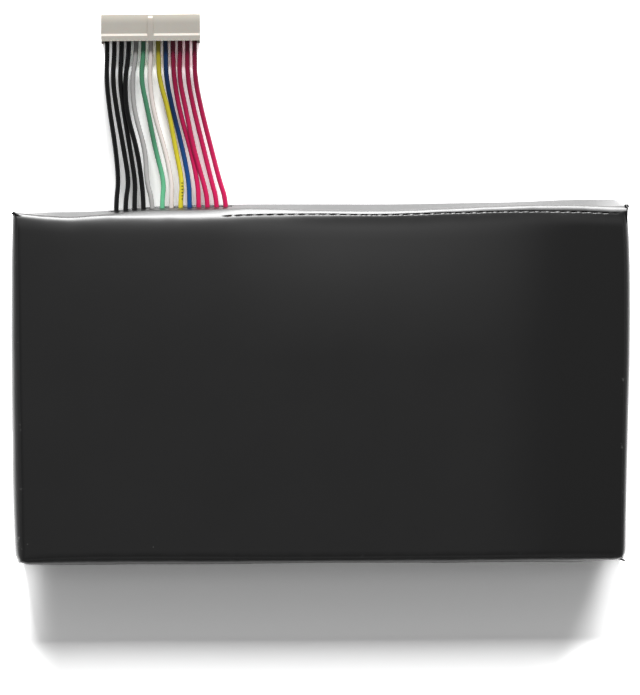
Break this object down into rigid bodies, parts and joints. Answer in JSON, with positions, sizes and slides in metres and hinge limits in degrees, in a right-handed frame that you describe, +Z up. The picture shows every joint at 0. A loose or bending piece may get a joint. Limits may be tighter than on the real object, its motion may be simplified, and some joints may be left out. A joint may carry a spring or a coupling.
{
  "type": "laptop battery",
  "caption": "Film-wrapped laptop battery block with a short multi-wire lead and an off-white plug, lying on its back",
  "frame": {"origin": "under the middle of the pack, on the underside of its back sheet", "axes": "+X along the long side, +Y toward the wall that the lead leaves, +Z up through the face"},
  "size_m": [0.1694, 0.1517, 0.014],
  "materials": {
    "black_film": "satin",
    "pouch": "satin",
    "clear_tape": "clear",
    "tab_aluminium": "satin",
    "tab_nickel": "satin",
    "board": "satin",
    "chip": "matte",
    "capacitor": "matte",
    "foam": "matte",
    "solder": "satin",
    "amber_tape": "gloss",
    "insulation_black": "gloss",
    "insulation_grey": "gloss",
    "insulation_green": "gloss",
    "insulation_white": "gloss",
    "insulation_yellow": "gloss",
    "insulation_blue": "gloss",
    "insulation_red": "gloss",
    "nylon": "satin",
    "tin": "satin"
  },
  "bodies": {
    "root": {"film_wrap": "black_film", "back_sheet": "black_film", "cell_lower_left": "pouch", "cell_upper_left": "pouch", "cell_lower_right": "pouch", "cell_upper_right": "pouch", "cell_tapes": "clear_tape", "positive_tabs": "tab_aluminium", "negative_tabs": "tab_nickel", "protection_board": "board", "gauge_chip": "chip", "switch_transistors": "chip", "current_shunt": "chip", "cell_fuse": "chip", "chip_capacitors": "capacitor", "foam_under_left": "foam", "foam_under_right": "foam", "foam_over": "foam", "solder_joints": "solder", "joint_tape": "amber_tape", "wire_black_1": "insulation_black", "wire_black_2": "insulation_black", "wire_black_3": "insulation_black", "wire_black_4": "insulation_black", "wire_grey": "insulation_grey", "wire_green": "insulation_green", "wire_white": "insulation_white", "wire_yellow": "insulation_yellow", "wire_blue": "insulation_blue", "wire_red_1": "insulation_red", "wire_red_2": "insulation_red", "wire_red_3": "insulation_red", "wire_red_4": "insulation_red", "connector_housing": "nylon", "crimp_terminals": "tin"}
  },
  "joints": []
}
